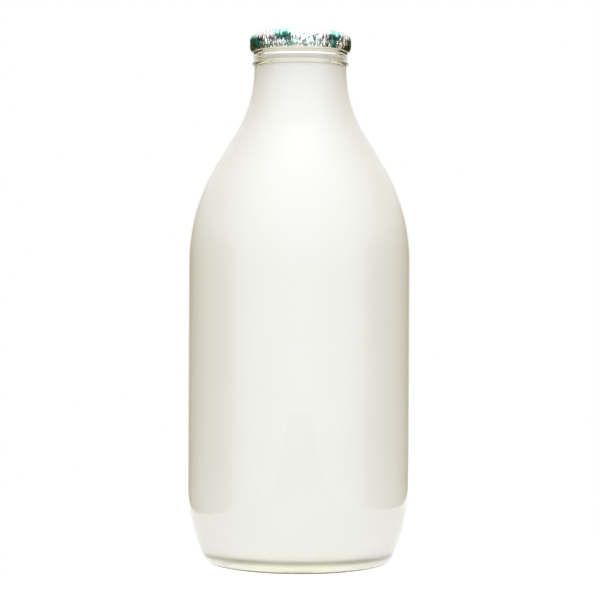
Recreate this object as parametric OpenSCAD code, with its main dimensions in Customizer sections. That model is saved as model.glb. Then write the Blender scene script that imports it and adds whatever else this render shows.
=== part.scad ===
// Glass milk bottle of one pint, full of milk, with its crimped foil cap.
// The Z axis is the bottle's axis, and the bottle stands on the plane Z = 0.

/* [Bottle] */
// Height of the glass from the table to the lip
bottle_h = 185; // [165:1:205]
// Diameter of the straight body
body_d = 78.2; // [70:0.2:90]
// Thickness of the glass wall
wall = 2.5; // [2:0.1:3.2]

/* [Shoulder] */
// Height over which the body narrows to the neck
shoulder_h = 68; // [58:1:80]
// How much of the shoulder is curved: 0 is a straight cone, 1 has no straight flank
curved_share = 0.7; // [0.4:0.05:1]
// Share of that curve that belongs to the neck and not to the body
neck_curve_share = 0.39; // [0.3:0.01:0.5]

/* [Base] */
// Height of the curved foot of the body
foot_h = 26; // [20:1:30]
// Radius of the foot's curve, seen from the side
foot_curve_r = 55; // [50:1:70]
// Radius of the heel, where the foot turns under
heel_r = 1.75; // [1:0.25:3]
// Width of the flat ring that the bottle stands on
stand_w = 4; // [3:0.5:6]
// Height of the hollow pushed up under the base
push_up = 3; // [1:0.25:3.5]
// Thickness of the glass above the standing ring
base_t = 4.8; // [4:0.1:6]
// Radius of the corner inside, between the wall and the floor
floor_corner_r = 7; // [5:0.5:9]
// Rise of the floor inside, from its corner to the axis
floor_rise = 2; // [1:0.25:2.5]

/* [Neck and lip] */
// Diameter of the neck, where the shoulder ends
neck_d = 32.6; // [31:0.1:34]
// Height of the finish, from the end of the neck's curve to the lip
finish_h = 12.2; // [11.5:0.1:14]
// Step out from the neck to the collar under the lip
collar_step = 0.3; // [0.1:0.1:0.5]
// Height of the mould's parting ring above the end of the neck's curve
seam_rise = 1.8; // [1.5:0.1:3]
// How far the parting ring stands out from the collar
seam_out = 0.4; // [0.2:0.05:0.5]
// Height of the parting ring
seam_h = 0.8; // [0.6:0.1:1.4]
// How far the rounded lip stands out from the collar
lip_out = 0.65; // [0.4:0.05:0.8]
// Height of the rounded lip
lip_h = 6; // [5.6:0.1:6.2]
// Radius of the lip's upper edge
lip_r = 2.2; // [1.5:0.1:2.4]
// Radius of the curve under the lip
lip_under_r = 1.6; // [1.2:0.1:2]
// Radius of the mouth's inner edge
mouth_r = 1.2; // [0.8:0.1:1.3]

/* [Milk] */
// Free height between the milk and the lip
headspace = 11; // [9:0.5:25]
// Clearance that keeps the milk's solid apart from the glass
milk_gap = 0.05; // [0.02:0.01:0.1]

/* [Foil cap] */
// Thickness of the foil
foil_t = 0.1; // [0.08:0.01:0.2]
// Clearance between the foil and the lip
foil_gap = 0.05; // [0.04:0.01:0.1]
// Number of pleats round the skirt
pleats = 100; // [60:2:120]
// Depth of a pleat, from its ridge to its groove
pleat_depth = 0.45; // [0.2:0.05:0.6]
// Share of that depth that is left at the hem
hem_pleat_share = 0.5; // [0.2:0.1:1]
// Height of the skirt's hem below the lip
skirt_h = 6.2; // [4.6:0.1:7]
// How far the skirt is pressed in under the lip, where the glass leaves room for it
tuck_in = 0.7; // [0.1:0.05:0.8]
// Depth of the foil's panel over the mouth
panel_drop = 0.6; // [0.2:0.1:0.6]
// Width of the slope from the lip down to that panel
panel_run = 2.6; // [2.6:0.1:4]

/* [Hidden] */

// Largest turn between neighbouring points of an outline
arc_step = 4;
// Distance under which two points of an outline are one
same_point = 0.001;
// Sides of each whole turn about the axis
$fn = 128;

body_r = body_d / 2;
neck_r = neck_d / 2;
collar_r = neck_r + collar_step;
lip_outer_r = collar_r + lip_out;
bore_r = neck_r - wall;

// Heights of the finish, from the lip down
neck_z = bottle_h - finish_h;
seam_z = neck_z + seam_rise;
lip_under_z = bottle_h - lip_h + lip_under_r;
milk_z = bottle_h - headspace;

// The lip's bead ends where the curve under it meets the collar.
lip_under_x = lip_outer_r - lip_under_r;
lip_under_a = acos((collar_r - lip_under_x) / lip_under_r);

// The shoulder is an arc, a straight flank and a counter-arc, each tangent to the next.
body_top_z = neck_z - shoulder_h;
narrowing = body_r - neck_r;
flank_a = atan(narrowing / shoulder_h) * (1 + curved_share);
curve_sum = (shoulder_h * sin(flank_a) - narrowing * cos(flank_a)) / (1 - cos(flank_a));
neck_curve_r = curve_sum * neck_curve_share;
shoulder_curve_r = curve_sum - neck_curve_r;

// Centres of the shoulder's two arcs and of the foot's arc, as [radius, height]
shoulder_c = [body_r - shoulder_curve_r, body_top_z];
neck_c = [neck_r + neck_curve_r, neck_z];
foot_c = [body_r - foot_curve_r, foot_h];

// Points of an arc about c from angle a0 to angle a1, both included
function arc(c, r, a0, a1) =
    let (n = max(2, ceil(abs(a1 - a0) / arc_step)))
    [for (i = [0 : n]) let (a = a0 + (a1 - a0) * i / n) c + r * [cos(a), sin(a)]];

// Centre of a corner of radius r that lies on height z and inside the foot's arc of radius foot_r
function corner_c(foot_r, r, z) =
    [foot_c[0] + sqrt(pow(foot_r - r, 2) - pow(foot_h - z - r, 2)), z + r];

// Angle, as seen from the foot's centre, at which that corner meets the foot's arc
function corner_a(foot_r, r, z) = -asin((foot_h - z - r) / (foot_r - r));

// Points of a shallow dome, from its rim at radius r to the axis, rising from z
function dome(r, rise, z) =
    let (dome_r = (r * r + rise * rise) / (2 * rise), half_a = asin(r / dome_r))
    arc([0, z + rise - dome_r], dome_r, 90 - half_a, 90);

// The wall from the foot up to the neck, at a given depth inside the outer surface
function side(depth, foot_a) = concat(
    arc(foot_c, foot_curve_r - depth, foot_a, 0),
    arc(shoulder_c, shoulder_curve_r - depth, 0, flank_a),
    arc(neck_c, neck_curve_r + depth, 180 + flank_a, 180)
);

// The inside, from the axis up to the neck, at a given depth inside the outer surface
function inside(depth) =
    let (
        foot_r = foot_curve_r - depth,
        floor_z = base_t + depth - wall,
        corner = corner_c(foot_r, floor_corner_r, floor_z),
        meet_a = corner_a(foot_r, floor_corner_r, floor_z)
    )
    concat(
        reverse(dome(corner[0], floor_rise, floor_z)),
        arc(corner, floor_corner_r, -90, meet_a),
        side(depth, meet_a)
    );

function reverse(points) = [for (i = [len(points) - 1 : -1 : 0]) points[i]];

// Neighbouring arcs share their end points, and an outline holds each point once.
function outline(points) = [
    for (i = [0 : len(points) - 1])
        if (i == 0 || norm(points[i] - points[i - 1]) > same_point) points[i]
];

function base_outline() =
    let (
        corner = corner_c(foot_curve_r, heel_r, 0),
        meet_a = corner_a(foot_curve_r, heel_r, 0)
    )
    concat(
        reverse(dome(corner[0] - stand_w, push_up, 0)),
        arc(corner, heel_r, -90, meet_a),
        side(0, meet_a)
    );

function seam_outline() =
    let (n = 6)
    [for (i = [0 : n]) let (a = 180 * i / n)
        [collar_r + seam_out * sin(a), seam_z - seam_h / 2 * cos(a)]];

function lip_outline() = concat(
    arc([lip_under_x, lip_under_z], lip_under_r, -lip_under_a, 0),
    arc([lip_outer_r - lip_r, bottle_h - lip_r], lip_r, 0, 90),
    arc([bore_r + mouth_r, bottle_h - mouth_r], mouth_r, 90, 180)
);

module bottle() {
    color([0.84, 0.92, 0.88, 0.45])
        rotate_extrude()
            polygon(outline(concat(
                base_outline(),
                [[neck_r, seam_z - seam_h / 2]],
                seam_outline(),
                lip_outline(),
                reverse(inside(wall))
            )));
}

module milk() {
    color([0.96, 0.95, 0.92])
        rotate_extrude()
            polygon(outline(concat(
                inside(wall + milk_gap),
                [[bore_r - milk_gap, milk_z], [0, milk_z]]
            )));
}

// Radius at height z of a skin that lies at the distance off outside the bead and the collar
function bead_r(z, off) =
    z >= lip_under_z ? lip_outer_r + off
    : max(collar_r + off, lip_under_x
        + sqrt(max(0, pow(lip_under_r + off, 2) - pow(lip_under_z - z, 2))));

// Rows of one face of the foil, from the panel's edge to the hem, as [radius, height, share of
// the pleat's depth]. The inner face lies one thickness inside the outer one.
function foil_rows(depth) =
    let (
        off = foil_gap + foil_t - depth,
        groove_r = lip_outer_r + off,
        top_z = bottle_h + off,
        turn_r = lip_r + off,
        land_r = bore_r + mouth_r,
        hem_z = bottle_h - skirt_h,
        tuck_z = max(lip_under_z, (bottle_h - lip_r + hem_z) / 2),
        turn_n = 4,
        tuck_n = 4
    )
    concat(
        [[land_r - panel_run, top_z - panel_drop, 0], [land_r, top_z, 0]],
        [for (i = [0 : turn_n])
            let (a = 90 * (1 - i / turn_n))
            [groove_r - turn_r * (1 - cos(a)), top_z - turn_r * (1 - sin(a)), pow(i / turn_n, 2)]],
        [for (i = [0 : tuck_n])
            let (z = tuck_z + (hem_z - tuck_z) * i / tuck_n)
            [max(bead_r(z, off), groove_r - tuck_in), z, 1 - (1 - hem_pleat_share) * i / tuck_n]]
    );

// Ridges stand at the even columns and grooves at the odd ones.
module foil_cap() {
    columns = 2 * pleats;
    outer = foil_rows(0);
    inner = foil_rows(foil_t);
    rows = concat(outer, reverse(inner));
    points = concat(
        [for (row = rows, i = [0 : columns - 1])
            let (a = 360 * i / columns, r = row[0] + row[2] * pleat_depth * (1 - i % 2))
            [r * cos(a), r * sin(a), row[1]]],
        [[0, 0, outer[0][1]], [0, 0, inner[0][1]]]
    );
    last = len(rows) - 1;
    outer_pole = len(points) - 2;
    inner_pole = len(points) - 1;
    faces = concat(
        [for (k = [0 : last - 1], i = [0 : columns - 1])
            let (j = (i + 1) % columns, up = k * columns, low = up + columns)
            each [[up + i, up + j, low + i], [up + j, low + j, low + i]]],
        [for (i = [0 : columns - 1]) [outer_pole, (i + 1) % columns, i]],
        [for (i = [0 : columns - 1])
            let (up = last * columns)
            [inner_pole, up + i, up + (i + 1) % columns]]
    );
    color([0.78, 0.80, 0.82])
        polyhedron(points, faces);
}

bottle();
milk();
foil_cap();
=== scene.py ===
# %% [markdown]
# # A pint of milk in glass, with a foil cap
#
# The object is a returnable glass milk bottle. It is full of milk, and a disc of striped foil is
# pressed over its lip. Three things make its look: clear glass a few millimetres thick, a white
# liquid that fills the glass without any gap, and thin metal folded into fine pleats.
#
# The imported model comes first. It is a fixed frame, so every piece below takes its place from it.

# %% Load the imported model
import math

import bmesh
import bpy
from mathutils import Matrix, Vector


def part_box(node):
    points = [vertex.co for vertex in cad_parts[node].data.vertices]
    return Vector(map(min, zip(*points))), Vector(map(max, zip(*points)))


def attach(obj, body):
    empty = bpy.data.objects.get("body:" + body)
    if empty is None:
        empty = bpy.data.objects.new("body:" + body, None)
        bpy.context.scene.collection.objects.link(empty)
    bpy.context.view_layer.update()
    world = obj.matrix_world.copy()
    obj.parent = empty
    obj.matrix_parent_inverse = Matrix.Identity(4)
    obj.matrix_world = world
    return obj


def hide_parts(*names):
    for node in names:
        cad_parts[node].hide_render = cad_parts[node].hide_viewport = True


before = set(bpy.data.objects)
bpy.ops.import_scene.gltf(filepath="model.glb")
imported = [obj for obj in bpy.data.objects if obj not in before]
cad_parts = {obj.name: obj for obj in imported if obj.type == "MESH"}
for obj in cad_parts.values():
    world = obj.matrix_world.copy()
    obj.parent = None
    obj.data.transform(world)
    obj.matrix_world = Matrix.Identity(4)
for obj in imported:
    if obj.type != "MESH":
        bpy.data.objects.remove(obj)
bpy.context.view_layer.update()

# %% [markdown]
# ## Sizes
#
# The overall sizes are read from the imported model, so they can't drift away from it. The smaller
# ones, such as the wall and the curves of the finish, are the same named values that the CAD
# source has. Everything is in metres with Z up, and the bottle's axis is the Z axis.

# %% Sizes of the glass
MM = 0.001  # metres

bottle_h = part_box("bottle")[1].z
body_r = min(abs(v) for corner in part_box("bottle") for v in corner[:2])
wall = 2.5 * MM

shoulder_h = 68 * MM
curved_share = 0.7
neck_curve_share = 0.39

foot_h = 26 * MM
foot_curve_r = 55 * MM
heel_r = 1.75 * MM
stand_w = 4 * MM
push_up = 3 * MM
base_t = 4.8 * MM
floor_corner_r = 7 * MM
floor_rise = 2 * MM

neck_r = 16.3 * MM
finish_h = 12.2 * MM
collar_r = neck_r + 0.3 * MM
seam_rise = 1.8 * MM
seam_out = 0.4 * MM
seam_h = 0.8 * MM
lip_outer_r = collar_r + 0.65 * MM
lip_h = 6 * MM
lip_r = 2.2 * MM
lip_under_r = 1.6 * MM
mouth_r = 1.2 * MM
bore_r = neck_r - wall

print("glass", round(bottle_h / MM, 1), "mm high,", round(2 * body_r / MM, 1), "mm across")

# %% [markdown]
# ## The outline of the glass
#
# A blown bottle is a shape of revolution: one outline, turned about the axis, gives the whole
# piece. The outline is made of arcs that run into each other without a corner, because a mould is
# cut that way and glass won't flow into a sharp edge. The shoulder is an arc, a short straight
# flank and a counter-arc, and the angle of the flank follows from how far the body narrows.

# %% Arcs that make an outline
ARC_STEP = 1.5  # degrees between neighbouring points
SAME_POINT = 0.001 * MM


def arc(centre, radius, start, end):
    """Points (radius, height) of an arc, with its angles in degrees and both ends included."""
    count = max(2, math.ceil(abs(end - start) / ARC_STEP))
    turns = [math.radians(start + (end - start) * i / count) for i in range(count + 1)]
    return [(centre[0] + radius * math.cos(a), centre[1] + radius * math.sin(a)) for a in turns]


def joined(*runs):
    """One outline from several runs of points, where neighbours share their end points."""
    points = []
    for point in [point for run in runs for point in run]:
        if not points or math.dist(points[-1], point) > SAME_POINT:
            points.append(point)
    return points


neck_z = bottle_h - finish_h
narrowing = body_r - neck_r
flank_a = math.degrees(math.atan(narrowing / shoulder_h)) * (1 + curved_share)
flank_sin, flank_cos = math.sin(math.radians(flank_a)), math.cos(math.radians(flank_a))
curve_sum = (shoulder_h * flank_sin - narrowing * flank_cos) / (1 - flank_cos)
neck_curve_r = curve_sum * neck_curve_share
shoulder_curve_r = curve_sum - neck_curve_r

shoulder_c = (body_r - shoulder_curve_r, neck_z - shoulder_h)
neck_c = (neck_r + neck_curve_r, neck_z)
foot_c = (body_r - foot_curve_r, foot_h)
print("shoulder curve", round(shoulder_curve_r / MM, 1), "mm,",
      "flank at", round(flank_a, 1), "degrees")

# %% The runs of the outline


def side(depth, foot_a):
    """The wall from the foot up to the neck, at a given depth inside the outer skin."""
    return joined(
        arc(foot_c, foot_curve_r - depth, foot_a, 0),
        arc(shoulder_c, shoulder_curve_r - depth, 0, flank_a),
        arc(neck_c, neck_curve_r + depth, 180 + flank_a, 180),
    )


def foot_corner(depth, radius, z):
    """Centre of a corner that lies on height z and inside the foot's arc, and where they meet."""
    rise, reach = foot_h - z - radius, foot_curve_r - depth - radius
    centre = (foot_c[0] + math.sqrt(reach ** 2 - rise ** 2), z + radius)
    return centre, -math.degrees(math.asin(rise / reach))


def dome(rim_r, rise, z):
    """A shallow dome, from the axis out to its rim at height z."""
    dome_r = (rim_r ** 2 + rise ** 2) / (2 * rise)
    half_a = math.degrees(math.asin(rim_r / dome_r))
    run = arc((0, z + rise - dome_r), dome_r, 90, 90 - half_a)
    return [(0, z + rise)] + run[1:]


def inside(depth):
    """The inside from the axis up to the neck."""
    floor_z = base_t + depth - wall
    corner, meet_a = foot_corner(depth, floor_corner_r, floor_z)
    return joined(
        dome(corner[0], floor_rise, floor_z),
        arc(corner, floor_corner_r, -90, meet_a),
        side(depth, meet_a),
    )


def foot():
    """The outside from the axis, over the standing ring and up to the neck."""
    corner, meet_a = foot_corner(0, heel_r, 0)
    return joined(
        dome(corner[0] - stand_w, push_up, 0),
        arc(corner, heel_r, -90, meet_a),
        side(0, meet_a),
    )


def finish():
    """The parting ring, the bead of the lip and the mouth's edge."""
    seam_z = neck_z + seam_rise
    ring = [
        (collar_r + seam_out * math.sin(a), seam_z - seam_h / 2 * math.cos(a))
        for a in [math.pi * i / 12 for i in range(13)]
    ]
    under_x, under_z = lip_outer_r - lip_under_r, bottle_h - lip_h + lip_under_r
    under_a = math.degrees(math.acos((collar_r - under_x) / lip_under_r))
    return joined(
        [(neck_r, seam_z - seam_h / 2)],
        ring,
        arc((under_x, under_z), lip_under_r, -under_a, 0),
        arc((lip_outer_r - lip_r, bottle_h - lip_r), lip_r, 0, 90),
        arc((bore_r + mouth_r, bottle_h - mouth_r), mouth_r, 90, 180),
    )


outer_skin = joined(foot(), finish())
inner_skin = inside(wall)[::-1]
print("outline:", len(outer_skin), "points outside,", len(inner_skin), "inside")

# %% [markdown]
# ## Turning an outline into a closed skin
#
# Blender has a Screw modifier and a Spin tool for this, but they leave doubled points where the
# ends meet and at the axis. Rings of points joined one by one close the skin exactly, and every
# face comes out with its front outwards. A mould has two halves, so two hair-fine vertical ridges
# are left on the glass where they met. A swell that depends on the angle makes them.

# %% Revolve an outline
COLUMNS = 192
TURN = 2 * math.pi
even_angles = [TURN * i / COLUMNS for i in range(COLUMNS)]


def link(name, data):
    """A new object in the scene, at the origin."""
    thing = bpy.data.objects.new(name, data)
    bpy.context.scene.collection.objects.link(thing)
    return thing


def smooth_piece(name, mesh):
    """A new object from a finished mesh, smooth all over."""
    for face in mesh.faces:
        face.smooth = True
    data = bpy.data.meshes.new(name)
    mesh.to_mesh(data)
    mesh.free()
    return link(name, data)


def revolve(name, outline, angles, swell=None):
    """A closed skin from an outline that starts and ends on the axis."""
    mesh = bmesh.new()
    rings = []
    for row, (r, z) in enumerate(outline):
        if r < SAME_POINT:
            rings.append([mesh.verts.new((0, 0, z))])
            continue
        ring = []
        for angle in angles:
            full_r = r + (swell(row, angle) if swell else 0)
            ring.append(mesh.verts.new((full_r * math.cos(angle), full_r * math.sin(angle), z)))
        rings.append(ring)
    for low, high in zip(rings, rings[1:]):
        for i in range(max(len(low), len(high))):
            corners = [low[i % len(low)], low[(i + 1) % len(low)],
                       high[(i + 1) % len(high)], high[i % len(high)]]
            mesh.faces.new(list(dict.fromkeys(corners)))
    piece = smooth_piece(name, mesh)
    print(name, len(piece.data.vertices), "points", len(piece.data.polygons), "faces")
    return piece


# %% The glass
MOULD_LINE = 0.06 * MM      # height of the ridge
MOULD_LINE_W = 0.35 * MM    # half its width
LINE_SHARES = (-1, -0.6, -0.3, 0.3, 0.6, 1)  # extra columns across that width

line_a = MOULD_LINE_W / body_r
glass_angles = sorted(
    even_angles
    + [(side_a + share * line_a) % TURN
       for side_a in (0, math.pi) for share in LINE_SHARES]
)
line_rows = [k for k, (r, z) in enumerate(outer_skin) if heel_r < z < neck_z]


def mould_line(row, angle):
    """The skin lies lower than its ridge, so that the ridge keeps inside the real outline."""
    if row not in line_rows:
        return 0
    off = abs(math.asin(math.sin(angle))) / line_a
    return -MOULD_LINE * (1 - (max(0, 1 - off ** 2)) ** 2)


glass = revolve("bottle_glass", outer_skin + inner_skin, glass_angles, mould_line)

# %% [markdown]
# ## The milk
#
# If the milk stopped at the inner wall, the renderer would find a thin film of air there and show
# a bright ring of reflections. So the milk reaches a little way into the wall. Where it meets the
# glass at the top, it climbs the wall in a small curve, as every liquid does that wets glass.

# %% The milk
INTO_WALL = 0.15 * MM
CLIMB_H = 1.1 * MM
CLIMB_W = 1.7 * MM
CLIMB_FALL = 3   # how fast the curve dies away from the wall
CLIMB_STEPS = 14

milk_edge_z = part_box("milk")[1].z
milk_edge_r = bore_r + INTO_WALL
climb = [
    (milk_edge_r - CLIMB_W * CLIMB_FALL * t,
     milk_edge_z - CLIMB_H * (1 - math.exp(-CLIMB_FALL * t)))
    for t in [i / CLIMB_STEPS for i in range(CLIMB_STEPS + 1)]
]
milk_top_z = climb[-1][1]
milk = revolve("milk", joined(inside(wall - INTO_WALL), climb, [(0, milk_top_z)]), even_angles)
print("milk stands", round(milk_edge_z / MM, 1), "mm high at the glass")

# %% [markdown]
# ## Formulas for shaders
#
# A node tree is easier to read as a formula. One small class wraps an output socket, and each
# operator adds the Math node that does it, so `1 - mask * 0.5` builds two nodes. Any node comes
# from `add`, which takes the node's type, its settings and what its sockets get. A Math node
# would turn a colour grey, so colours go through a Mix node and places through Vector Math.

# %% Wires and trees


class Wire:
    """An output socket that formulas can use."""

    def __init__(self, tree, socket):
        self.tree, self.socket = tree, socket

    def out(self, key):
        """Another output of the same node."""
        return Wire(self.tree, self.socket.node.outputs[key])

    def do(self, operation, *others):
        """A Math node with this wire first."""
        return math_node(self.tree, operation, self, *others)

    def __add__(self, other):
        return self.do("ADD", other)

    def __sub__(self, other):
        return self.do("SUBTRACT", other)

    def __rsub__(self, other):
        return math_node(self.tree, "SUBTRACT", other, self)

    def __mul__(self, other):
        return self.do("MULTIPLY", other)

    def __truediv__(self, other):
        return self.do("DIVIDE", other)

    def __pow__(self, other):
        return self.do("POWER", other)

    def __neg__(self):
        return 0 - self

    def __abs__(self):
        return self.do("ABSOLUTE")

    __radd__ = __add__
    __rmul__ = __mul__

    def ease(self, empty, full):
        """0 at one value of the wire, 1 at the other, with a soft start and end."""
        return add(self.tree, "ShaderNodeMapRange", {"interpolation_type": "SMOOTHSTEP"},
                   {"Value": self, "From Min": empty, "From Max": full})


def add(tree, kind, settings=(), values=(), output=0):
    """A node of any type: its settings first, then its sockets; gives one of its outputs."""
    node = tree.nodes.new(kind)
    for key, value in dict(settings).items():
        setattr(node, key, value)
    for key, value in dict(values).items():
        if isinstance(value, Wire):
            tree.links.new(value.socket, node.inputs[key])
        else:
            node.inputs[key].default_value = value
    return Wire(tree, node.outputs[output]) if node.outputs else None


def math_node(tree, operation, *values):
    """A Math node on numbers and wires."""
    return add(tree, "ShaderNodeMath", {"operation": operation}, dict(enumerate(values)))


# %% Nodes that come up again and again


def split(tree, place):
    """The three numbers of a vector."""
    x = add(tree, "ShaderNodeSeparateXYZ", (), {0: place})
    return x, x.out(1), x.out(2)


def join(tree, *numbers):
    """A vector from up to three numbers."""
    return add(tree, "ShaderNodeCombineXYZ", (), dict(enumerate(numbers)))


def vector(tree, operation, first, second):
    """A Vector Math node; a scale takes its number in a socket of its own."""
    slot = "Scale" if operation == "SCALE" else 1
    return add(tree, "ShaderNodeVectorMath", {"operation": operation}, {0: first, slot: second})


def length(x, y):
    """The length of two numbers at right angles."""
    return (x * x + y * y) ** 0.5


def blend_colour(tree, factor, first, second):
    """Two colours mixed by a wire or a number."""
    full = [c if isinstance(c, Wire) else (*c, 1) for c in (first, second)]
    return add(tree, "ShaderNodeMix", {"data_type": "RGBA"},
               {0: factor, 6: full[0], 7: full[1]}, output=2)


def noise(tree, place, scale, detail=2, roughness=0.5):
    """Soft noise from 0 to 1, so many cells to the metre."""
    return add(tree, "ShaderNodeTexNoise", (),
               {"Vector": place, "Scale": scale, "Detail": detail, "Roughness": roughness})


def bump(tree, depth, height, *under):
    """A relief of a given depth, on top of another one if there is one."""
    values = {"Strength": 1.0, "Distance": depth, "Height": height}
    return add(tree, "ShaderNodeBump", (), {**values, **{"Normal": wire for wire in under}})


def new_material(name):
    """An empty material and its tree."""
    material = bpy.data.materials.new(name)
    material.use_nodes = True
    material.node_tree.nodes.clear()
    return material, material.node_tree


def finish_material(material, surface, volume=None):
    """Send the surface, and the volume if there is one, to the material's output."""
    tree, ends = material.node_tree, {"Surface": surface, "Volume": volume}
    add(tree, "ShaderNodeOutputMaterial", (), {key: wire for key, wire in ends.items() if wire})
    print(material.name, "is made of", len(tree.nodes), "nodes")


def object_place(tree):
    """The point on the object, in metres."""
    return add(tree, "ShaderNodeTexCoord", output=3)


# %% [markdown]
# ## The finish of the glass
#
# Bottle glass is clear, with a trace of colour that shows only where the light goes a long way
# through it, as at the thick base and at the edge of the body. A coloured surface would tint
# thin and thick glass alike. So the surface is left white, and the volume takes a little light
# away on each millimetre, blue more than the rest. A bottle that has been washed and filled many
# times has a faint haze on it, and its wall is never quite even, so the skin waves very slightly.

# %% Flint glass
WAVE_DEPTH = 0.01 * MM
MOST_HAZE = 0.012  # roughness where the haze is thickest

flint_glass, tree = new_material("flint_glass")
place = object_place(tree)
haze = noise(tree, place, 55, 4, 0.6)
waves = bump(tree, WAVE_DEPTH, noise(tree, place, 28, 1))
surface = add(tree, "ShaderNodeBsdfPrincipled", (), {
    "Base Color": (1, 1, 1, 1),
    "Roughness": haze.ease(0.5, 0.8) * MOST_HAZE,
    "IOR": 1.52,
    "Transmission Weight": 1.0,
    "Normal": waves,
})
tint = add(tree, "ShaderNodeVolumeAbsorption", (),
           {"Color": (0.86, 0.88, 0.2, 1), "Density": 9.0})
finish_material(flint_glass, surface, tint)
glass.data.materials.append(flint_glass)

# %% [markdown]
# ## The finish of the milk
#
# Whole milk is a warm white, a little creamier near the top, where the fat rises in a bottle that
# has stood. The change is faint, so the colour moves only a hair along the height. Light goes a
# short way into milk before it comes back, and that softens every shade on it, so it gets
# subsurface scattering. Its radius is the same for red, green and blue: unequal ones leave
# coloured grain, and milk scatters all three nearly alike.

# %% Whole milk
MILK, CREAM = (0.95, 0.94, 0.905), (0.955, 0.945, 0.915)
CREAM_FROM, CREAM_FULL = 0.72 * bottle_h, 0.95 * bottle_h

whole_milk, tree = new_material("whole_milk")
place = object_place(tree)
height = split(tree, place)[2]
cream = height.ease(CREAM_FROM, CREAM_FULL) * 0.6
cream = cream + noise(tree, place, 40, 3) * 0.2
surface = add(tree, "ShaderNodeBsdfPrincipled", (), {
    "Base Color": blend_colour(tree, cream, MILK, CREAM),
    "Roughness": noise(tree, place, 90, 2) * 0.1 + 0.3,
    "IOR": 1.35,
    "Specular IOR Level": 0.2,
    "Subsurface Weight": 1.0,
    "Subsurface Radius": (1.0, 1.0, 1.0),
    "Subsurface Scale": 2 * MM,
})
finish_material(whole_milk, surface)
milk.data.materials.append(whole_milk)

# %% [markdown]
# ## The foil blank
#
# The cap starts as a flat disc of foil, printed with straight stripes. A machine presses it over
# the lip: the middle stays flat, the edge rolls down over the bead, and the spare foil of the
# skirt folds into fine pleats. So the mesh is first laid out without a pleat, as rows from the
# middle to the hem. Each row also knows how deep its pleats get, how loose its foil is, and how
# far it lay from the middle of the flat disc, because the print has to follow that distance.

# %% The rows of the cap
foil_t = 0.1 * MM
foil_off = 0.05 * MM + foil_t
skirt_h = 6.2 * MM
tuck_in = 0.7 * MM
hem_pleat_share = 0.5
panel_drop = 0.6 * MM
panel_run = 2.6 * MM
SOFT_EDGE = 0.6 * MM   # how far the slope's curve runs in over the panel
CRUMPLE_ROOM = 0.05 * MM
PANEL_ROWS, SLOPE_ROWS, ROLL_ROWS, SKIRT_ROWS = 7, 7, 12, 18
PANEL_LOOSE, RIM_LOOSE = 0.3, 0.7  # how loose the foil is, from 0, tight, to 1

foil_top_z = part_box("foil_cap")[1].z - CRUMPLE_ROOM
skirt_r = lip_outer_r + foil_off
roll_r = lip_r + foil_off
land_r = bore_r + mouth_r


def shares(count):
    """The steps of a run as shares of it, without its start."""
    return [i / count for i in range(1, count + 1)]


def divided(start, end, count):
    """Points of a straight run, without its first one."""
    return [tuple(a + (b - a) * t for a, b in zip(start, end)) for t in shares(count)]


def bead_skin(z):
    """Radius of the foil at a height below the roll, where it follows the bead's underside."""
    under_z = bottle_h - lip_h + lip_under_r
    if z >= under_z:
        return skirt_r
    reach = (lip_under_r + foil_off) ** 2 - (under_z - z) ** 2
    bead = lip_outer_r - lip_under_r + math.sqrt(max(0, reach))
    return max(bead, collar_r + foil_off, skirt_r - tuck_in)


def cap_rows():
    """Rows as (radius, height, pleat share, looseness)."""
    panel_z = foil_top_z - panel_drop
    slope_r, slope_run = land_r - panel_run - SOFT_EDGE, panel_run + SOFT_EDGE
    rows = [(0, panel_z, 0, PANEL_LOOSE)]
    rows += divided(rows[-1], (slope_r, panel_z, 0, RIM_LOOSE), PANEL_ROWS)
    for t in shares(SLOPE_ROWS):
        rise = panel_drop * (1 - math.cos(math.pi * t)) / 2
        rows.append((slope_r + slope_run * t, panel_z + rise, 0, RIM_LOOSE * (1 - t)))
    for t in shares(ROLL_ROWS):
        a = math.radians(90 * (1 - t))
        rows.append((skirt_r - roll_r * (1 - math.cos(a)), foil_top_z - roll_r * (1 - math.sin(a)),
                     t ** 2, t))
    roll_z, hem_z = rows[-1][1], bottle_h - skirt_h
    for t in shares(SKIRT_ROWS):
        z = roll_z + (hem_z - roll_z) * t
        share = 1 - (1 - hem_pleat_share) * max(0, 2 * t - 1)
        rows.append((bead_skin(z), z, share, 1))
    return rows


CAP_COLUMNS = 1000


def foil_blank(rows):
    """The unpleated cap, with the facts of its rows as attributes of its points."""
    mesh = bmesh.new()
    layers = {name: mesh.verts.layers.float.new(name) for name in ("pleat", "loose", "flat_r")}
    rings, flat_r, last = [], 0, rows[0]
    for row in rows:
        flat_r += math.dist(row[:2], last[:2])
        last = row
        count = CAP_COLUMNS if row[0] else 1
        ring = []
        for i in range(count):
            a = TURN * i / CAP_COLUMNS
            vert = mesh.verts.new((row[0] * math.cos(a), row[0] * math.sin(a), row[1]))
            vert[layers["pleat"]], vert[layers["loose"]], vert[layers["flat_r"]] = *row[2:], flat_r
            ring.append(vert)
        rings.append(ring)
    for inner, outer in zip(rings, rings[1:]):
        for i in range(CAP_COLUMNS):
            corners = [inner[i % len(inner)], outer[i], outer[(i + 1) % CAP_COLUMNS],
                       inner[(i + 1) % len(inner)]]
            mesh.faces.new(list(dict.fromkeys(corners)))
    print("foil blank:", len(rows), "rows, flat radius", round(flat_r / MM, 1), "mm")
    return smooth_piece("foil_blank", mesh)


blank = foil_blank(cap_rows())

# %% [markdown]
# ## Pleats by rule
#
# The pleats repeat round the skirt, so Geometry Nodes fold them. They aren't a clean wave: each
# fold starts at its own height, some lean over, and the foil between them is crumpled. The tree
# takes the angle of each point, counts pleats with it, bends that count with slow noise, and moves
# the point outwards along its normal. It also works out where the point lay on the flat disc. A
# fold hides part of the print, so that place is pushed sideways with the pleat, and the edges of
# the stripes come out jagged like those on a real cap.

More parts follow.
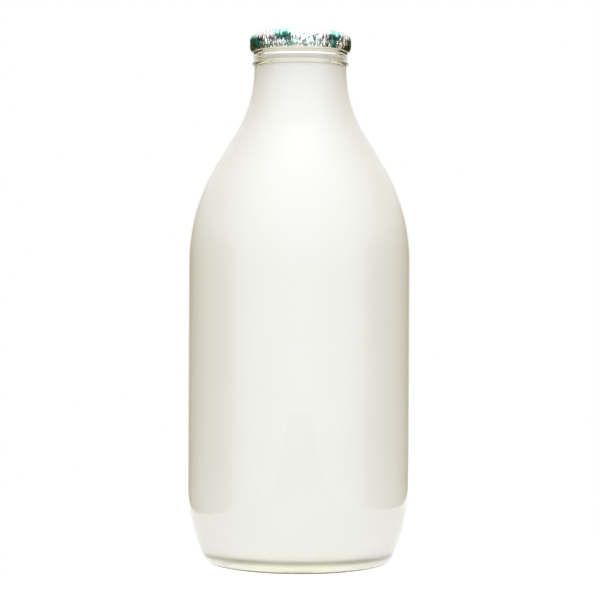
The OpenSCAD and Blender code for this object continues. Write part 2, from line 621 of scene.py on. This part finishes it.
# %% The tree that folds pleats
FOLD_INPUTS = [
    ("Geometry", "NodeSocketGeometry", None),
    ("Pleats", "NodeSocketFloat", 100.0),
    ("Pleat depth", "NodeSocketFloat", 0.36 * MM),
    ("Crumple depth", "NodeSocketFloat", 0.16 * MM),
    ("Wander", "NodeSocketFloat", 1.6),
    ("Seed", "NodeSocketFloat", 4.0),
    ("Foil", "NodeSocketMaterial", None),
]

fold = bpy.data.node_groups.new("fold_pleats", "GeometryNodeTree")
for name, kind, value in FOLD_INPUTS:
    socket = fold.interface.new_socket(name, in_out="INPUT", socket_type=kind)
    if value is not None:
        socket.default_value = value
fold.interface.new_socket("Geometry", in_out="OUTPUT", socket_type="NodeSocketGeometry")
fold_in = add(fold, "NodeGroupInput")


def taken(name):
    """One of the tree's own inputs."""
    return fold_in.out(name)


def known(name):
    """A fact that the blank's points carry."""
    return add(fold, "GeometryNodeInputNamedAttribute", {"data_type": "FLOAT"}, {"Name": name})


# %% Where each point is, and the noise round the cap
position = add(fold, "GeometryNodeInputPosition")
x, y = split(fold, position)[:2]
angle = y.do("ARCTAN2", x)
across, along = angle.do("COSINE"), angle.do("SINE")
pleat_share, loose, flat_r = known("pleat"), known("loose"), known("flat_r")


def ring_noise(cells, layer, detail=0):
    """Noise from -0.5 to 0.5 that closes on itself round the cap; each layer is another noise."""
    place = join(fold, across * cells, along * cells, taken("Seed") * 7 + layer)
    return noise(fold, place, 1.0, detail) - 0.5


# %% The folds
LEAN = 9          # how many pleats a fold may lean over
SMALL_FOLDS = 2.3  # small folds to a pleat
SMALL_SHARE = 0.45
LATE = 0.9        # how unevenly the folds start
UNEVEN = 1.1      # and how unevenly deep they are

count = angle * taken("Pleats") / TURN
count = count + ring_noise(4, 0, 1) * taken("Wander") * 4 + ring_noise(14, 1) * taken("Wander")
count = count + ring_noise(6, 3) * LEAN * (1 - pleat_share)
saw = count.do("FRACT")
ridge = (1 - abs(saw * 2 - 1)) ** 1.25

small = (count * SMALL_FOLDS + ring_noise(20, 11, 1) * 5).do("PINGPONG", 0.5) * 2
small = small * (ring_noise(50, 13) + 0.5)
start = (pleat_share + ring_noise(30, 5, 1) * LATE).ease(0.1, 0.75)
folded = (ridge * (0.8 + ring_noise(24, 7) * UNEVEN) + small * SMALL_SHARE) * start

# %% The crumples, and the move along the normal
flattened = vector(fold, "MULTIPLY", position, (1, 1, 0.6))
shifted = vector(fold, "ADD", flattened, join(fold, taken("Seed") * 0.013))
crumple = noise(fold, shifted, 1100, 2, 0.6)
out = folded * taken("Pleat depth") + crumple * loose * taken("Crumple depth")
move = vector(fold, "SCALE", add(fold, "GeometryNodeInputNormal"), out)
moved = add(fold, "GeometryNodeSetPosition", (), {"Geometry": taken("Geometry"), "Offset": move})

# %% Where the print lies, and the end of the tree
SLIP = 0.9 * TURN    # how far a fold pushes the print sideways, over the number of pleats
CRUMPLE_SLIP = 0.04
RIM_SLIP = 0.8 * MM

print_a = angle + (saw - 0.5) * start * SLIP / taken("Pleats") + crumple * loose * CRUMPLE_SLIP
print_r = flat_r + ring_noise(40, 9) * start * RIM_SLIP
on_disc = join(fold, print_a.do("COSINE") * print_r, print_a.do("SINE") * print_r)
marked = add(fold, "GeometryNodeStoreNamedAttribute",
             {"data_type": "FLOAT_VECTOR", "domain": "POINT"},
             {"Geometry": moved, "Name": "on_disc", "Value": on_disc})
real = add(fold, "GeometryNodeRealizeInstances", (), {"Geometry": marked})
painted = add(fold, "GeometryNodeSetMaterial", (), {"Geometry": real, "Material": taken("Foil")})
add(fold, "NodeGroupOutput", (), {0: painted})
print("the tree that folds pleats has", len(fold.nodes), "nodes")

# %% [markdown]
# ## The finish of the foil
#
# The foil is bright rolled aluminium. The stripes are a clear green lacquer, so they are metal as
# well, only coloured. They are simply a wave across the place on the flat disc, which the tree
# above stored. Pleats finer than the mesh can hold are drawn as creases: noise stretched along
# the skirt gives them relief, and a darker colour paints shade into their bottoms. On the smooth
# roll the lacquer is painted a light mint green, a painted highlight of the bright ceiling. Below
# the bead the foil is crushed, and the edge of each stripe breaks up into specks; the lacquer
# there is painted lighter, a painted reflection of the bright milk and table.

# %% Where the foil is smooth, creased and crushed
CREASES = 28                # noise cells to one radian
CREASE_RISE = 420           # and to one metre of height
UNEVEN_START = 6 * MM       # how unevenly the creases start
SKIRT_DEPTHS = 0.8 * MM, 2.6 * MM   # below the top: no crease yet, and all creased
CRUSH_DEPTHS = 3.3 * MM, 4.3 * MM   # and the same for the crushed foil

striped_foil, tree = new_material("striped_foil")
place = object_place(tree)
cap_x, cap_y, cap_z = split(tree, place)
round_r = length(cap_x, cap_y) + 0.1 * MM  # never zero at the axis
cap_side, cap_front = cap_x / round_r, -cap_y / round_r
around = vector(tree, "SCALE", join(tree, cap_side, cap_y / round_r), CREASES)
crease = noise(tree, vector(tree, "ADD", around, join(tree, 0, 0, cap_z * CREASE_RISE)), 1, 2, 0.6)
uneven_z = cap_z + (crease - 0.5) * UNEVEN_START
skirt = uneven_z.ease(*[foil_top_z - depth for depth in SKIRT_DEPTHS])
crushed = uneven_z.ease(*[foil_top_z - depth for depth in CRUSH_DEPTHS])
strewn = crushed * cap_side.ease(0.66, 0.56) * cap_front.ease(0.55, 0.75)

# %% The stripes
STRIPE_PITCH = 9.7 * MM
STRIPE_W = 5.4 * MM
STRIPE_TURN = math.radians(15)
STRIPE_START = -0.7 * MM
STRIPE_BLUR = 0.12 * MM
RAGGED = 0.2 * MM, 2.2 * MM, 9 * MM  # shift of a stripe's edge: smooth, creased, crushed
SPECKS = 0.85                       # how far specks take the stripes' place
SCUFF_AT, SCUFF_R = (4 * MM, -17 * MM), 5 * MM

disc = add(tree, "ShaderNodeAttribute", {"attribute_name": "on_disc"}, output=1)
disc_x, disc_y = split(tree, disc)[:2]
band = disc_x * math.cos(STRIPE_TURN) + disc_y * math.sin(STRIPE_TURN) - STRIPE_START
ragged = skirt * RAGGED[1] + crushed * RAGGED[2] + RAGGED[0]
band = band + (noise(tree, place, 1500, 2) - 0.5) * ragged
from_middle = abs((band / STRIPE_PITCH + 0.5).do("FRACT") - 0.5) * STRIPE_PITCH
green = from_middle.ease(STRIPE_W / 2 + STRIPE_BLUR, STRIPE_W / 2 - STRIPE_BLUR)
scuffed = length(cap_x - SCUFF_AT[0], cap_y - SCUFF_AT[1]).ease(SCUFF_R, SCUFF_R * 0.4)
green = green * (1 - scuffed * noise(tree, place, 1300, 2).ease(0.62, 0.5))
specks = noise(tree, place, 1250, 2).ease(0.47, 0.56)
green = green + (specks - green) * strewn * SPECKS

# %% The colours of the foil
LACQUER = (0.001, 0.045, 0.028), (0.010, 0.17, 0.11)
# painted shade: the lacquer in the bottoms of the creases
LACQUER_IN_CREASE_SHADE = (0.0005, 0.014, 0.010)
# painted reflection: the lacquer on the crushed foil, lighter for the bright milk and table it
# mirrors
LACQUER_SPECK_REFLECTION = (0.22, 0.62, 0.48)
# painted highlight: the lacquer on the smooth roll, lightened to mint for the bright ceiling it
# mirrors
LACQUER_ROLL_HIGHLIGHT = (0.42, 0.85, 0.68)
BARE = (0.84, 0.81, 0.82), (0.93, 0.91, 0.91)
# painted shade: the bare foil in the bottoms of the creases
BARE_IN_CREASE_SHADE = (0.10, 0.08, 0.09)

# mask of the painted shade in the creases, stronger at the two sides where the creases lie closer
packed_shade = abs(cap_side - 0.08).ease(0.2, 0.42)  # the creases lie closer at the two sides
crease_shade = (crease + packed_shade * 0.09).ease(0.50, 0.59) * skirt * (1 - crushed * 0.45)
worn = noise(tree, place, 1500, 2, 0.6)
lacquer = blend_colour(tree, worn, *LACQUER)
# painted reflection: lighter lacquer on the crushed foil below the bead
lacquer = blend_colour(tree, strewn * 0.6, lacquer, LACQUER_SPECK_REFLECTION)
# paints shade into the creases of the lacquer
lacquer = blend_colour(tree, crease_shade, lacquer, LACQUER_IN_CREASE_SHADE)
# painted highlight on the roll, where the skirt mask is zero
lacquer = blend_colour(tree, skirt, LACQUER_ROLL_HIGHLIGHT, lacquer)
# the bare foil, with painted shade in its creases
bare = blend_colour(tree, crease_shade, blend_colour(tree, worn, *BARE), BARE_IN_CREASE_SHADE)

# %% Striped foil
SCRATCH_DEPTH, CREASE_DEPTH = 0.03 * MM, 0.10 * MM

relief = bump(tree, SCRATCH_DEPTH, noise(tree, place, 2600, 2, 0.6))
relief = bump(tree, CREASE_DEPTH, crease * skirt, relief)
surface = add(tree, "ShaderNodeBsdfPrincipled", (), {
    "Base Color": blend_colour(tree, green, bare, lacquer),
    "Metallic": 1.0,
    "Roughness": 0.09 + worn * 0.13,
    "Coat Roughness": 0.08,
    "Coat Weight": green * 0.25,
    "Normal": relief,
})
finish_material(striped_foil, surface)
print("stripes", round(STRIPE_W / MM, 1), "mm wide, one to", round(STRIPE_PITCH / MM, 1), "mm")

# %% [markdown]
# ## The plain side of the foil
#
# Only the outside is printed. The inside is plain rolled metal, duller than the outside, and it
# hangs round a bead of glass that carries light up out of the milk. Paths through that glass are
# long and would need many samples, so a faint glow of the foil stands in for them.

# %% Plain foil
plain_foil, tree = new_material("plain_foil")
rolled = noise(tree, object_place(tree), 1200, 2)
surface = add(tree, "ShaderNodeBsdfPrincipled", (), {
    "Base Color": blend_colour(tree, rolled, (0.93, 0.92, 0.88), (0.97, 0.96, 0.92)),
    "Metallic": 0.3,
    "Roughness": rolled * 0.1 + 0.42,
    "Emission Color": (1.0, 0.97, 0.90, 1),
    "Emission Strength": 0.3,
})
finish_material(plain_foil, surface)

# %% [markdown]
# ## From the rule to a plain mesh
#
# The modifier's inputs are set by each socket's identifier, because names aren't what Blender
# stores. Solidify then gives the folded sheet its thickness, inwards, and the evaluated result is
# kept as an ordinary mesh that holds no modifier.

# %% Fold the cap
SHEET_T = 0.06 * MM

folding = blank.modifiers.new("fold", "NODES")
folding.node_group = fold
chosen = {"Foil": striped_foil}
for item in fold.interface.items_tree:
    if item.in_out == "INPUT" and item.name in chosen:
        folding[item.identifier] = chosen[item.name]


def as_mesh(piece, name):
    """A new object whose plain mesh is what the piece's modifiers give; the old one goes."""
    bpy.context.view_layer.update()
    evaluated = piece.evaluated_get(bpy.context.evaluated_depsgraph_get())
    data = bpy.data.meshes.new_from_object(evaluated)
    data.name = name
    piece.modifiers.clear()
    bpy.data.objects.remove(piece)
    return link(name, data)


sheet = as_mesh(blank, "folded_sheet")
sheet.data.materials.append(plain_foil)
thick = sheet.modifiers.new("thickness", "SOLIDIFY")
thick.thickness = SHEET_T
thick.offset = -1
thick.material_offset = 1
foil = as_mesh(sheet, "foil_cap_pleated")
cap_mesh = foil.data
print("cap:", len(cap_mesh.polygons), "faces,",
      "widest", round(2 * max(v.co.x for v in cap_mesh.vertices) / MM, 2), "mm")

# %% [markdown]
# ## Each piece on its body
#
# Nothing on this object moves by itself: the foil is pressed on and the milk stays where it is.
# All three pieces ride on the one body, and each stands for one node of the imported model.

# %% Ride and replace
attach(glass, "root")
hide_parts("bottle")

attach(milk, "root")
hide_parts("milk")

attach(foil, "root")
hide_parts("foil_cap")

# %% [markdown]
# ## The table
#
# The bottle stands on a white table that glows a little, as a light table does, so it shows
# neither a shadow nor an edge. The table is narrow: at both sides the foot of the body mirrors it,
# and above a soft line the body mirrors the darker room. Real lamps under a table could do this,
# but a glow that depends on the place is quicker and free of grain. It is brighter in front of the
# foot, and dark under the bottle, where no light gets in, except for a ring at the far side. The
# thick base gathers that ring into the bright band under the milk.

# %% The table's light
TABLE_LEFT = [(-0.085, 1.6), (-0.094, 0), (-0.15, -0.8)]
TABLE_RIGHT = [(0.18, -0.8), (0.118, 0), (0.108, 1.6)]
TABLE_LIGHT = 1.25
GLOW_SHARE = 0.95
UNDER_LIGHT = (0.14, 0.10, 0.0)
GATHERED_LIGHT = (1.9, 1.92, 2.5)
BESIDE_LIGHT = (1.3, 1.3, 1.3)
STAND_R = max(r for r, z in foot() if z < SAME_POINT)

white_table, tree = new_material("white_table")
spot_x, spot_y = split(tree, object_place(tree))[:2]
reach = length(spot_x, spot_y)
ring = reach.ease(14.5 * MM, 17 * MM) * reach.ease(28 * MM, 26 * MM)
gathered = spot_y.ease(-2 * MM, 8 * MM) * ring
under = blend_colour(tree, gathered, UNDER_LIGHT, GATHERED_LIGHT)
in_front = reach.ease(75 * MM, 42 * MM) * spot_y.ease(-5 * MM, -32 * MM)
beside = blend_colour(tree, in_front, (1, 1, 1), BESIDE_LIGHT)
glow_colour = blend_colour(tree, reach.ease(STAND_R - 2 * MM, STAND_R), under, beside)
glow = add(tree, "ShaderNodeEmission", (), {"Color": glow_colour, "Strength": TABLE_LIGHT})
shade = add(tree, "ShaderNodeBsdfDiffuse", (), {"Color": (0.9, 0.9, 0.9, 1)})
both = add(tree, "ShaderNodeMixShader", (), {0: GLOW_SHARE, 1: shade, 2: glow})
finish_material(white_table, both)

# %% The table
corners = [(x, y, 0) for x, y in TABLE_LEFT + TABLE_RIGHT]
table_mesh = bpy.data.meshes.new("table")
table_mesh.from_pydata(corners, [], [(0, 1, 4, 5), (1, 2, 3, 4)])
table_mesh.materials.append(white_table)
table = link("table", table_mesh)
print("the bottle stands on a ring of", round(STAND_R / MM, 1), "mm radius")

# %% [markdown]
# ## The studio
#
# Glass shows what stands round it. On a white sweep with white light from everywhere its edge
# would vanish, so dark cloths hang left and right of it, out of view. They are mirrored in the two
# sides of the body and in the pleats of the foil. Here they are part of the surroundings, as
# functions of the direction: warm brown, a little darker towards the back, and only so high that
# the shoulder still mirrors the white room. A large soft box stands in front and leans over, and
# the ceiling above is the brightest part. Area lamps would do the same, but each of them would
# leave a hard-edged highlight on the glass. What stands behind the bottle is plain white.

# %% Where the cloths, the soft box and the ceiling are
BACK_LIGHT = (1.05, 1.05, 1.03)
SIDE_LIGHT = (0.94, 0.90, 0.80)
SOFTBOX_LIGHT = (1.73, 1.74, 1.83)
SOFTBOX_TILT = math.radians(20)
CEILING_LIGHT = (2.9, 2.95, 3.15)
CLOTH = (0.39, 0.265, 0.0)
FAR_CLOTH = (0.26, 0.17, 0.0)

world = bpy.data.worlds.new("studio")
world.use_nodes = True
tree = world.node_tree
tree.nodes.clear()
east, north, up = split(tree, add(tree, "ShaderNodeTexCoord", output=0))
frontal = -north / (length(east, north) + 0.0001)  # 1 in front, -1 at the back
towards_box = up * math.sin(SOFTBOX_TILT) - north * math.cos(SOFTBOX_TILT)
hung = frontal.ease(0.5, 0.1) * frontal.ease(-0.97, -0.90) * up.ease(0.32, 0.04)
cloth = blend_colour(tree, frontal.ease(-0.45, -0.75), CLOTH, FAR_CLOTH)
white = blend_colour(tree, frontal.ease(-0.95, -0.6), BACK_LIGHT, SIDE_LIGHT)
white = blend_colour(tree, towards_box.ease(-0.05, 0.65), white, SOFTBOX_LIGHT)
white = blend_colour(tree, up.ease(0.86, 0.96), white, CEILING_LIGHT)

# %% The surroundings
around = add(tree, "ShaderNodeBackground", (), {"Color": blend_colour(tree, hung, white, cloth)})
backdrop = add(tree, "ShaderNodeBackground", (), {"Color": (1, 1, 1, 1), "Strength": 1.0})
seen = add(tree, "ShaderNodeLightPath")
surroundings = add(tree, "ShaderNodeMixShader", (), {0: seen, 1: around, 2: backdrop})
add(tree, "ShaderNodeOutputWorld", (), {"Surface": surroundings})
bpy.context.scene.world = world
bpy.context.scene.view_settings.view_transform = "Standard"
print("the studio's surroundings have", len(tree.nodes), "nodes")

# %% [markdown]
# ## The camera
#
# The camera stands a little above the middle of the bottle and looks level, so the upright sides
# stay upright. It is turned by a fraction of a degree about its own axis.

# %% The camera
STAND_OFF = 0.600
EYE_H = 0.508 * bottle_h
TILT = math.radians(-0.3)

camera_data = bpy.data.cameras.new("camera")
camera_data.lens = 102.1
camera_data.sensor_width = 36
camera_data.shift_x = 0.0013
camera_data.shift_y = -0.0112
camera = link("camera", camera_data)
camera.location = (0, -STAND_OFF, EYE_H)
camera.rotation_euler = (math.radians(90), TILT, 0)
bpy.context.scene.camera = camera
print("camera", round(EYE_H / MM), "mm high and", round(STAND_OFF / MM), "mm from the axis")
